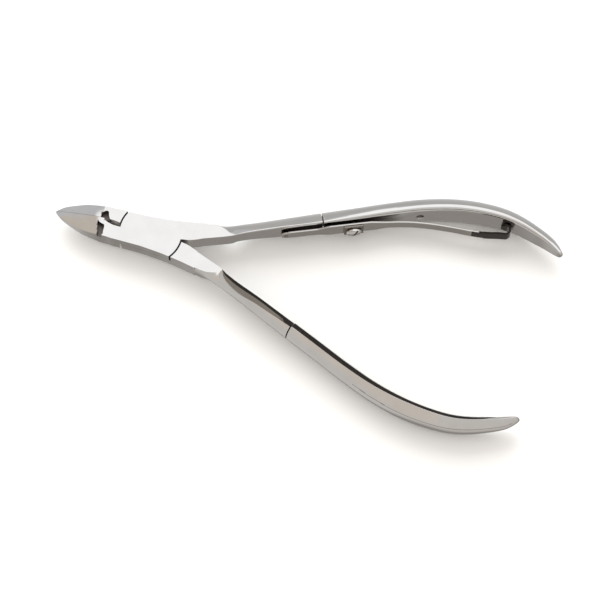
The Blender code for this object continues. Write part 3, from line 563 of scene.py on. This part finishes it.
def screw(name, radius, head_r, head_h, shank0, head0, slot_w, slot_d, matrix, dome, rim=0.12):
    prof = [(0.0, head0 + head_h)]
    steps = 16
    for k in range(1, steps + 1):
        a = math.radians(90.0 * k / steps)
        prof.append((head_r * math.sin(a), head0 + head_h * (1 - dome) + head_h * dome * math.cos(a)))
    prof += [(head_r, head0 + rim), (head_r - rim * 0.3, head0 + rim * 0.3), (head_r - rim, head0), (radius, head0),
             (radius, shank0 + 0.25), (radius - 0.25, shank0), (0.0, shank0)]
    bm = bmesh.new()
    n = 72
    rings = []
    for r, z in prof[1:-1]:
        rings.append([bm.verts.new(matrix @ (Vector((r * math.cos(2 * math.pi * i / n),
                                                     r * math.sin(2 * math.pi * i / n), z)) * MM)) for i in range(n)])
    top = bm.verts.new(matrix @ (Vector((0, 0, prof[0][1])) * MM))
    low = bm.verts.new(matrix @ (Vector((0, 0, prof[-1][1])) * MM))
    for a, b in zip(rings, rings[1:]):
        for i in range(n):
            bm.faces.new((a[i], b[i], b[(i + 1) % n], a[(i + 1) % n]))
    for i in range(n):
        bm.faces.new((top, rings[0][i], rings[0][(i + 1) % n]))
        bm.faces.new((low, rings[-1][(i + 1) % n], rings[-1][i]))
    obj = from_bmesh(name, bm)
    booleans(obj, [], [box("slot", (3 * head_r, slot_w, slot_d * 2), (0, 0, head0 + head_h), matrix)])
    soften(obj, 0.05, angle=45.0)
    shade(obj, 30.0)
    return obj


strip = leaf()
booleans(strip, [], [cylinder("leaf_hole", SCREW_R + 0.12, SCREW_R + 0.12, 0.0, 2.0, sw, 48),
                     cylinder("nub_hole", 0.42, 0.42, 0.0, 2.0, sw @ Matrix.Translation((q_nub.x, 0, 0)), 32)])
shade(strip, 34.0)

plate_z = LEAF_BASE + LEAF_T + 0.02
washer = box("washer_plate_polished", (PLATE[0], PLATE[1], PLATE[2] + 0.1), (0, 0, plate_z + 0.5 * PLATE[2] + 0.05), sw)
booleans(washer, [], [cylinder("plate_hole", SCREW_R + 0.12, SCREW_R + 0.12, 0.0, 3.0, sw, 48)])
soften(washer, 0.10, angle=45.0, segments=3)
shade(washer, 30.0)

spring_screw = screw("spring_screw_polished", SCREW_R, SCREW_HEAD_R, SCREW_HEAD_H, -1.7,
                     LEAF_BASE + LEAF_T + 0.12 + PLATE[2] + 0.02, 0.4, 0.4,
                     sw @ Matrix.Rotation(math.radians(60), 4, "Z"), 0.6)
pivot_screw = screw("pivot_screw_polished", PIVOT_R, PIVOT_HEAD_R, PIVOT_HEAD_H, -1.5, HALF_T - PIVOT_HEAD_H,
                    0.7, 0.45, Matrix.Rotation(math.pi, 4, "X") @ Matrix.Rotation(math.radians(35), 4, "Z"), 0.10)


def nub():
    bm = bmesh.new()
    top = LEAF_BASE + LEAF_T + 0.28
    m = sw @ Matrix.Translation((q_nub.x, 0, 0))
    prof = [(0.34, 0.12), (0.34, top - 0.30)] + [(0.34 * math.cos(math.radians(a)), top - 0.30 + 0.30 * math.sin(math.radians(a)))
                                               for a in (15, 30, 45, 60, 75)]
    n = 48
    rings = [[bm.verts.new(m @ (Vector((r * math.cos(2 * math.pi * i / n), r * math.sin(2 * math.pi * i / n), z)) * MM))
              for i in range(n)] for r, z in prof]
    for a, b in zip(rings, rings[1:]):
        for i in range(n):
            bm.faces.new((a[i], a[(i + 1) % n], b[(i + 1) % n], b[i]))
    tip = bm.verts.new(m @ (Vector((0, 0, top)) * MM))
    bm.faces.new(rings[0][::-1])
    for i in range(n):
        bm.faces.new((tip, rings[-1][i], rings[-1][(i + 1) % n]))
    return from_bmesh("detent_nub_polished", bm)


nub_o = nub()
shade(nub_o, 40.0)


# ------------------------------------------------------------------ materials
def metal(name, colour, rough, brush_scale, brush_amount, bump, tint=0.03, axis_stretch=(1.0, 18.0, 18.0)):
    """Polished metal: faint cloudy tone, painted shade in recesses, fine polishing lines in roughness and height, and
    hairline scratches.
    """
    m = bpy.data.materials.new(name)
    m.use_nodes = True
    nt = m.node_tree
    nodes, links = nt.nodes, nt.links
    b = nodes["Principled BSDF"]
    b.inputs["Metallic"].default_value = 1.0
    tc = nodes.new("ShaderNodeTexCoord")
    mp = nodes.new("ShaderNodeMapping")
    mp.inputs["Scale"].default_value = axis_stretch
    links.new(tc.outputs["Object"], mp.inputs["Vector"])

    cloud = nodes.new("ShaderNodeTexNoise")
    cloud.inputs["Scale"].default_value = 260.0
    cloud.inputs["Detail"].default_value = 4.0
    links.new(tc.outputs["Object"], cloud.inputs["Vector"])
    ramp = nodes.new("ShaderNodeValToRGB")
    ramp.color_ramp.elements[0].position = 0.30
    ramp.color_ramp.elements[0].color = (*[c * (1 - tint) for c in colour], 1)
    ramp.color_ramp.elements[1].position = 0.72
    ramp.color_ramp.elements[1].color = (*[min(1.0, c * (1 + tint)) for c in colour], 1)
    links.new(cloud.outputs["Fac"], ramp.inputs["Fac"])
    ao = nodes.new("ShaderNodeAmbientOcclusion")       # painted shade: ambient occlusion darkens joints, hollows and other recesses
    ao.samples = 8
    ao.inputs["Distance"].default_value = 0.0013
    shut = nodes.new("ShaderNodeMapRange")
    shut.interpolation_type = "SMOOTHSTEP"
    shut.inputs["From Min"].default_value = 0.30
    shut.inputs["From Max"].default_value = 0.78
    links.new(ao.outputs["AO"], shut.inputs["Value"])
    painted_shade_mix = nodes.new("ShaderNodeMix")
    painted_shade_mix.data_type = "RGBA"
    painted_shade_mix.inputs["A"].default_value = (0.10, 0.085, 0.075, 1)
    links.new(shut.outputs["Result"], painted_shade_mix.inputs["Factor"])
    links.new(ramp.outputs["Color"], painted_shade_mix.inputs["B"])
    links.new(painted_shade_mix.outputs["Result"], b.inputs["Base Color"])

    lines = nodes.new("ShaderNodeTexNoise")
    lines.inputs["Scale"].default_value = brush_scale
    lines.inputs["Detail"].default_value = 3.0
    links.new(mp.outputs["Vector"], lines.inputs["Vector"])
    mr = nodes.new("ShaderNodeMapRange")
    mr.inputs["From Min"].default_value = 0.25
    mr.inputs["From Max"].default_value = 0.8
    mr.inputs["To Min"].default_value = rough - brush_amount
    mr.inputs["To Max"].default_value = rough + brush_amount
    links.new(lines.outputs["Fac"], mr.inputs["Value"])

    scr = nodes.new("ShaderNodeTexVoronoi")
    scr.feature = "DISTANCE_TO_EDGE"
    scr.inputs["Scale"].default_value = 900.0
    smap = nodes.new("ShaderNodeMapping")
    smap.inputs["Scale"].default_value = (0.10, 1.0, 1.0)
    smap.inputs["Rotation"].default_value = (0.0, 0.0, 0.35)
    links.new(tc.outputs["Object"], smap.inputs["Vector"])
    links.new(smap.outputs["Vector"], scr.inputs["Vector"])
    sr = nodes.new("ShaderNodeMapRange")
    sr.inputs["From Min"].default_value = 0.0
    sr.inputs["From Max"].default_value = 0.012
    sr.inputs["To Min"].default_value = 0.06
    sr.inputs["To Max"].default_value = 0.0
    links.new(scr.outputs["Distance"], sr.inputs["Value"])
    add = nodes.new("ShaderNodeMath")
    add.operation = "ADD"
    links.new(mr.outputs["Result"], add.inputs[0])
    links.new(sr.outputs["Result"], add.inputs[1])
    links.new(add.outputs[0], b.inputs["Roughness"])

    wave = nodes.new("ShaderNodeTexNoise")     # slow waviness left by hand polishing
    wave.inputs["Scale"].default_value = 170.0
    wave.inputs["Detail"].default_value = 1.0
    links.new(tc.outputs["Object"], wave.inputs["Vector"])
    mix = nodes.new("ShaderNodeMath")
    mix.operation = "MULTIPLY_ADD"
    mix.inputs[1].default_value = 0.10
    links.new(lines.outputs["Fac"], mix.inputs[0])
    links.new(wave.outputs["Fac"], mix.inputs[2])
    bp = nodes.new("ShaderNodeBump")
    bp.inputs["Strength"].default_value = bump
    bp.inputs["Distance"].default_value = 0.00006
    links.new(mix.outputs[0], bp.inputs["Height"])
    links.new(bp.outputs["Normal"], b.inputs["Normal"])
    return m


steel = metal("mirror_polished_steel", (0.800, 0.792, 0.780), 0.085, 420.0, 0.02, 0.35)
spring_steel = metal("spring_strip_steel", (0.66, 0.645, 0.62), 0.17, 600.0, 0.04, 0.4)
screw_steel = metal("screw_steel", (0.80, 0.785, 0.76), 0.12, 700.0, 0.03, 0.3)
# dark steel painted as shade into the hollows, the lap joint's shoulder walls and the nub's dimples
recess_shade_steel = metal("recess_painted_shade_steel", (0.20, 0.175, 0.16), 0.38, 300.0, 0.05, 0.5)
# darker steel painted along the handle's crease as painted shade
crease_shade_steel = metal("crease_shade_steel", (0.40, 0.385, 0.37), 0.20, 500.0, 0.04, 0.4)
# near-black steel painted on the spring's hooked end as painted shade
hook_shade_steel = metal("hook_shade_steel", (0.030, 0.024, 0.020), 0.22, 500.0, 0.04, 0.4)
plate_steel = metal("plate_steel", (0.26, 0.235, 0.21), 0.24, 600.0, 0.04, 0.4)


DOWN = Matrix.Translation((0.0, 0.0, -HALF_T * MM))


def inside(outline, x, y):
    hit = False
    for (x0, y0), (x1, y1) in zip(outline, outline[1:] + outline[:1]):
        if (y0 > y) != (y1 > y) and x < x0 + (y - y0) * (x1 - x0) / (y1 - y0):
            hit = not hit
    return hit


def grow(outline, d):
    cx = sum(q[0] for q in outline) / len(outline)
    cy = sum(q[1] for q in outline) / len(outline)
    grown = []
    for x, y in outline:
        k = 1.0 + d / max(0.3, math.hypot(x - cx, y - cy))
        grown.append((cx + (x - cx) * k, cy + (y - cy) * k))
    return grown


def in_hollow(c, turned):
    """True for a point (mm) on the walls or floor of one of an arm's ground hollows."""
    x, y, z = (c.x, -c.y, -c.z) if turned else (c.x, c.y, c.z)
    return ((0.90 < z < HALF_T - 0.08 and inside(grow(LOW_HOLLOW, 0.12), x, y))
            or (-HALF_T + 0.08 < z < -0.90 and inside(grow(TOP_HOLLOW, 0.12), x, y)))


def in_dimple(c):
    """True for a point (mm) inside one of the nub's two dimples."""
    q = sw.inverted() @ (c * MM) / MM
    for near, face in ((q_nub.x / MM, q_nub.z / MM), (-q_nub.x / MM, q_far.z / MM)):
        if math.hypot(q.x - near, q.y) < 1.0 and face - 0.6 < q.z < face - 0.06:
            return True
    return False


def in_joint(c, n):
    """True for the round walls of the lap joint's shoulders."""
    r = math.hypot(c.x, c.y)
    return 6.38 < r < 6.90 and abs(c.z) < HALF_T - 0.04 and abs(n.z) < 0.7 and abs(n.y) < 0.96


def in_crease(c, turned):
    """True for the fine crease line on the broad side of a handle."""
    x, y, z = (c.x, -c.y, -c.z) if turned else (c.x, c.y, c.z)
    u = x
    for _ in range(6):
        p, t, n = bow_frame(u)
        u += (Vector((x, y)) - p).dot(t)
    if not 49.0 < u < 83.5:
        return False
    p, t, n = bow_frame(u)
    w, h = spline(HANDLE_T, u), 0.5 * spline(HANDLE_H, u)
    return 0.415 * h < -z < 0.462 * h and (Vector((x, y)) - p).dot(n) > -0.75


def in_hook(c, n):
    """True for the strip's hooked end and the outer side that leads into it."""
    return c.x > 66.4 or (c.x > 64.9 and n.dot(sw.col[2].to_3d()) > 0.5)


def put(obj, mat, body, node, shade_material=None, is_shaded=None):
    obj.data.materials.clear()
    obj.data.materials.append(mat)
    # a second, darker material paints shade onto the faces that the mask picks
    if shade_material:
        obj.data.materials.append(shade_material)
        for p in obj.data.polygons:
            p.material_index = 1 if is_shaded(p.center / MM, p.normal) else 0
    obj.data.transform(DOWN)
    work.objects.unlink(obj)
    bpy.context.scene.collection.objects.link(obj)
    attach(obj, body)
    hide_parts(node)


# painted shade: the hollows, the lap joint's shoulder walls and the nub's dimples get the dark second material
put(upper_arm, steel, "upper_half", "upper_arm", recess_shade_steel,
    lambda c, n: in_hollow(c, False) or in_joint(c, n) or in_dimple(c))
put(lower_arm, steel, "lower_half", "lower_arm", recess_shade_steel,
    lambda c, n: in_hollow(c, True) or in_joint(c, n))
put(upper_handle, steel, "upper_half", "upper_handle", recess_shade_steel, lambda c, n: in_dimple(c))
# painted shade along the lower handle's crease line
put(lower_handle, steel, "lower_half", "lower_handle", crease_shade_steel, lambda c, n: in_crease(c, True))
put(pivot_screw, screw_steel, "upper_half", "pivot_screw")
put(spring_screw, screw_steel, "upper_half", "spring_screw")
# painted shade on the spring's hooked end
put(strip, spring_steel, "spring", "leaf_spring", hook_shade_steel, in_hook)
put(washer, plate_steel, "spring", "washer_plate")
put(nub_o, plate_steel, "spring", "detent_nub")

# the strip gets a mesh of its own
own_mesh(strip)

# ------------------------------------------------------------------ stage: floor, light, camera
THETA = math.radians(15.20)          # the tool is turned this much, clockwise, in the view
ELEV = math.radians(72.0)
BACK = Vector((-math.sin(THETA), math.cos(THETA), 0.0))
RIGHT = Vector((math.cos(THETA), math.sin(THETA), 0.0))
TARGET = Vector((33.892, -5.327, -HALF_T)) * MM
LENS, SENSOR = 200.0, 36.0
DIST = 0.69635


def studio(nt, direction):
    """Radiance the polished metal sees in a direction: a white ceiling, a mid-grey room,
    a grey board to the left and a sheet of paper below."""
    N, L = nt.nodes, nt.links

    def link(v, socket):
        if isinstance(v, (int, float)):
            socket.default_value = v
        elif isinstance(v, tuple):
            socket.default_value = v
        else:
            L.new(v, socket)

    def op(kind, *args):
        n = N.new("ShaderNodeMath")
        n.operation = kind
        for k, v in enumerate(args):
            link(v, n.inputs[k])
        return n.outputs[0]

    def dot(vec):
        n = N.new("ShaderNodeVectorMath")
        n.operation = "DOT_PRODUCT"
        L.new(direction, n.inputs[0])
        n.inputs[1].default_value = vec
        return n.outputs["Value"]

    def step(v, a, b):
        """Smooth 0 to 1 as v goes from a to b, either way round."""
        n = N.new("ShaderNodeMapRange")
        n.interpolation_type = "SMOOTHSTEP"
        link(v, n.inputs["Value"])
        n.inputs["From Min"].default_value = min(a, b)
        n.inputs["From Max"].default_value = max(a, b)
        n.inputs["To Min"].default_value = 0.0 if a < b else 1.0
        n.inputs["To Max"].default_value = 1.0 if a < b else 0.0
        return n.outputs["Result"]

    def mix(f, a, b):
        n = N.new("ShaderNodeMix")
        n.data_type = "RGBA"
        link(f, n.inputs["Factor"])
        link(a, n.inputs["A"])
        link(b, n.inputs["B"])
        return n.outputs["Result"]

    def ramp(f, stops):
        n = N.new("ShaderNodeValToRGB")
        cr = n.color_ramp
        while len(cr.elements) > 1:
            cr.elements.remove(cr.elements[0])
        for k, (a, c) in enumerate(stops):
            e = cr.elements[0] if k == 0 else cr.elements.new((a + 180.0) / 360.0)
            e.position = (a + 180.0) / 360.0
            e.color = (*c, 1)
        L.new(f, n.inputs["Fac"])
        return n.outputs["Color"]

    b, r, u = dot(BACK), dot(RIGHT), dot((0, 0, 1))
    lim = lambda v: op("MINIMUM", op("MAXIMUM", v, -1.0), 1.0)
    phi = op("MULTIPLY", op("ARCTAN2", b, u), 180.0 / math.pi)       # 0 up, 90 back, -90 front
    lam = op("MULTIPLY", op("ARCSINE", lim(r)), 180.0 / math.pi)     # + to the right

    base = ramp(op("ADD", op("DIVIDE", phi, 360.0), 0.5), PROFILE)
    board = mix(step(phi, 12.0, 26.0), (0.585, 0.525, 0.465, 1), (0.555, 0.56, 0.575, 1))
    on_left = op("MULTIPLY", op("MULTIPLY", step(lam, -9.0, -17.0), step(phi, -38.0, -22.0)), step(phi, 85.0, 60.0))
    col = mix(on_left, base, board)
    far_left = step(lam, -12.0, -23.0)
    low = op("MULTIPLY", far_left, step(phi, -20.0, -40.0))
    return mix(low, col, mix(step(phi, -80.0, -125.0), (0.63, 0.575, 0.52, 1), (0.585, 0.565, 0.545, 1)))


PROFILE = [(-180, (0.25, 0.232, 0.215)), (-160, (0.285, 0.265, 0.245)), (-152, (0.34, 0.32, 0.295)),
           (-143, (0.53, 0.50, 0.47)), (-120, (0.56, 0.53, 0.50)), (-100, (0.60, 0.57, 0.54)),
           (-80, (0.60, 0.575, 0.545)), (-64, (0.63, 0.61, 0.59)), (-57, (0.74, 0.73, 0.72)), (-48, (1.10, 1.10, 1.10)),
           (28, (1.10, 1.10, 1.11)), (37, (0.96, 0.96, 0.965)), (46, (0.60, 0.60, 0.60)), (56, (0.47, 0.465, 0.46)),
           (90, (0.47, 0.46, 0.45)), (112, (0.52, 0.515, 0.51)), (135, (0.62, 0.62, 0.62)), (152, (0.62, 0.62, 0.62)),
           (166, (0.40, 0.39, 0.38))]

floor_z = cad_lo[2] - 0.00002
bm = bmesh.new()
for x, y in ((-3, -3), (3, -3), (3, 3), (-3, 3)):
    bm.verts.new((x, y, floor_z))
bm.faces.new(bm.verts)
fl_mesh = bpy.data.meshes.new("floor")
bm.to_mesh(fl_mesh)
bm.free()
floor = bpy.data.objects.new("floor", fl_mesh)
bpy.context.scene.collection.objects.link(floor)
fm = bpy.data.materials.new("floor_paper")
fm.use_nodes = True
ft = fm.node_tree
fb = ft.nodes["Principled BSDF"]
fb.inputs["Base Color"].default_value = (0.82, 0.82, 0.82, 1)
fb.inputs["Roughness"].default_value = 0.9
fb.inputs["Specular IOR Level"].default_value = 0.0
# painted reflection: rays reflected off the metal see the floor as a glow in the studio colours, not as the lit paper
geo = ft.nodes.new("ShaderNodeNewGeometry")
neg = ft.nodes.new("ShaderNodeVectorMath")
neg.operation = "SCALE"
neg.inputs["Scale"].default_value = -1.0
ft.links.new(geo.outputs["Incoming"], neg.inputs[0])
fe = ft.nodes.new("ShaderNodeEmission")
ft.links.new(studio(ft, neg.outputs["Vector"]), fe.inputs["Color"])
flp = ft.nodes.new("ShaderNodeLightPath")
fmix = ft.nodes.new("ShaderNodeMixShader")
ft.links.new(flp.outputs["Is Glossy Ray"], fmix.inputs["Fac"])
ft.links.new(fb.outputs[0], fmix.inputs[1])
ft.links.new(fe.outputs[0], fmix.inputs[2])
ft.links.new(fmix.outputs[0], ft.nodes["Material Output"].inputs["Surface"])
floor.data.materials.append(fm)


def card(name, rows, colour):
    """A card that only reflections see, and only from its front."""
    bm = bmesh.new()
    rows = [[bm.verts.new(Vector(p) * MM) for p in row] for row in rows]
    for (a, b), (c, d) in zip(rows, rows[1:]):
        bm.faces.new((a, c, d, b))
    mesh = bpy.data.meshes.new(name)
    bm.to_mesh(mesh)
    bm.free()
    o = bpy.data.objects.new(name, mesh)
    bpy.context.scene.collection.objects.link(o)
    o.visible_camera = False
    o.visible_diffuse = False
    o.visible_shadow = False
    o.visible_transmission = False
    m = bpy.data.materials.new(name)
    m.use_nodes = True
    t = m.node_tree
    t.nodes.clear()
    g = t.nodes.new("ShaderNodeNewGeometry")
    e = t.nodes.new("ShaderNodeEmission")
    e.inputs["Color"].default_value = (*colour, 1)
    clear = t.nodes.new("ShaderNodeBsdfTransparent")
    x = t.nodes.new("ShaderNodeMixShader")
    t.links.new(g.outputs["Backfacing"], x.inputs["Fac"])
    t.links.new(e.outputs[0], x.inputs[1])
    t.links.new(clear.outputs[0], x.inputs[2])
    t.links.new(x.outputs[0], t.nodes.new("ShaderNodeOutputMaterial").inputs["Surface"])
    mesh.materials.append(m)


def upright(x0, x1, z_of):
    """Rows of an upright card between the handles, behind the lower one."""
    rows = []
    for x in stations(x0, x1, 1.0):
        y_in = -inner_y(x) if x > 16.0 else -3.0 - 0.3 * (x - 14.0)
        near = max(2.6, 0.62 * abs(y_in)) if x < 60.0 else 13.0
        crest = 0.5 * spline(ARM_H if x < SEAM_X else HANDLE_H, x) if x > 16.0 else HALF_T
        rows.append([(x, y_in + near, z - HALF_T) for z in z_of(crest, near)])
    return rows


BLACK, GREY = (0.035, 0.030, 0.027), (0.24, 0.215, 0.19)
card("card_arm", upright(15.0, 32.0, lambda crest, near: (-4.2, crest + 0.52 * near)), BLACK)
card("card_arm_top", upright(15.0, 33.0, lambda crest, near: (crest + 0.52 * near, crest + 1.45 * near)), GREY)
card("card_handle", upright(32.0, 78.0, lambda crest, near: (-4.2, crest + 1.15 * near)), BLACK)

key = bpy.data.lights.new("key", "AREA")
key.shape = "RECTANGLE"
key.size, key.size_y = 0.70, 0.55
key.energy = 4.2
key.color = (0.91, 0.97, 1.0)
key_o = bpy.data.objects.new("key", key)
bpy.context.scene.collection.objects.link(key_o)
kd = (BACK * math.cos(math.radians(46)) - RIGHT * 0.10 + Vector((0, 0, 1)) * math.sin(math.radians(46))).normalized()
key_o.location = TARGET + kd * 0.8
key_o.rotation_euler = (-kd).to_track_quat("-Z", "Y").to_euler()
key_o.visible_glossy = False

world = bpy.data.worlds.new("studio")
bpy.context.scene.world = world
world.use_nodes = True
nt = world.node_tree
nt.nodes.clear()
N, L = nt.nodes, nt.links
tc = N.new("ShaderNodeTexCoord")
lp = N.new("ShaderNodeLightPath")
bg_refl = N.new("ShaderNodeBackground")
L.new(studio(nt, tc.outputs["Generated"]), bg_refl.inputs["Color"])
bg_fill = N.new("ShaderNodeBackground")                  # soft light for the paper, mostly from above and behind
fd = N.new("ShaderNodeVectorMath")
fd.operation = "DOT_PRODUCT"
L.new(tc.outputs["Generated"], fd.inputs[0])
fd.inputs[1].default_value = BACK
fr = N.new("ShaderNodeMapRange")
fr.interpolation_type = "SMOOTHSTEP"
fr.inputs["From Min"].default_value = -0.75
fr.inputs["From Max"].default_value = 0.55
fr.inputs["To Min"].default_value = 0.95
fr.inputs["To Max"].default_value = 1.42
L.new(fd.outputs["Value"], fr.inputs["Value"])
L.new(fr.outputs["Result"], bg_fill.inputs["Strength"])
bg_fill.inputs["Color"].default_value = (1.0, 0.955, 0.905, 1)
mixs = N.new("ShaderNodeMixShader")
L.new(lp.outputs["Is Glossy Ray"], mixs.inputs["Fac"])
L.new(bg_fill.outputs[0], mixs.inputs[1])
L.new(bg_refl.outputs[0], mixs.inputs[2])
wo = N.new("ShaderNodeOutputWorld")
L.new(mixs.outputs[0], wo.inputs["Surface"])

cam = bpy.data.cameras.new("camera")
cam.lens = LENS
cam.sensor_width = SENSOR
cam.clip_start, cam.clip_end = 0.01, 20.0
cam_o = bpy.data.objects.new("camera", cam)
bpy.context.scene.collection.objects.link(cam_o)
look = (BACK * math.cos(ELEV) - Vector((0, 0, 1)) * math.sin(ELEV)).normalized()
cam_o.location = TARGET - look * DIST
zax = -look
xax = RIGHT
yax = zax.cross(xax)
cam_o.matrix_world = Matrix(((xax.x, yax.x, zax.x, cam_o.location.x), (xax.y, yax.y, zax.y, cam_o.location.y),
                             (xax.z, yax.z, zax.z, cam_o.location.z), (0, 0, 0, 1)))
bpy.context.scene.camera = cam_o

bpy.context.scene.view_settings.view_transform = "Standard"
bpy.context.scene.view_settings.look = "None"
bpy.context.scene.view_settings.exposure = 0.0

for o in list(work.objects):
    drop(o)
bpy.data.collections.remove(work)
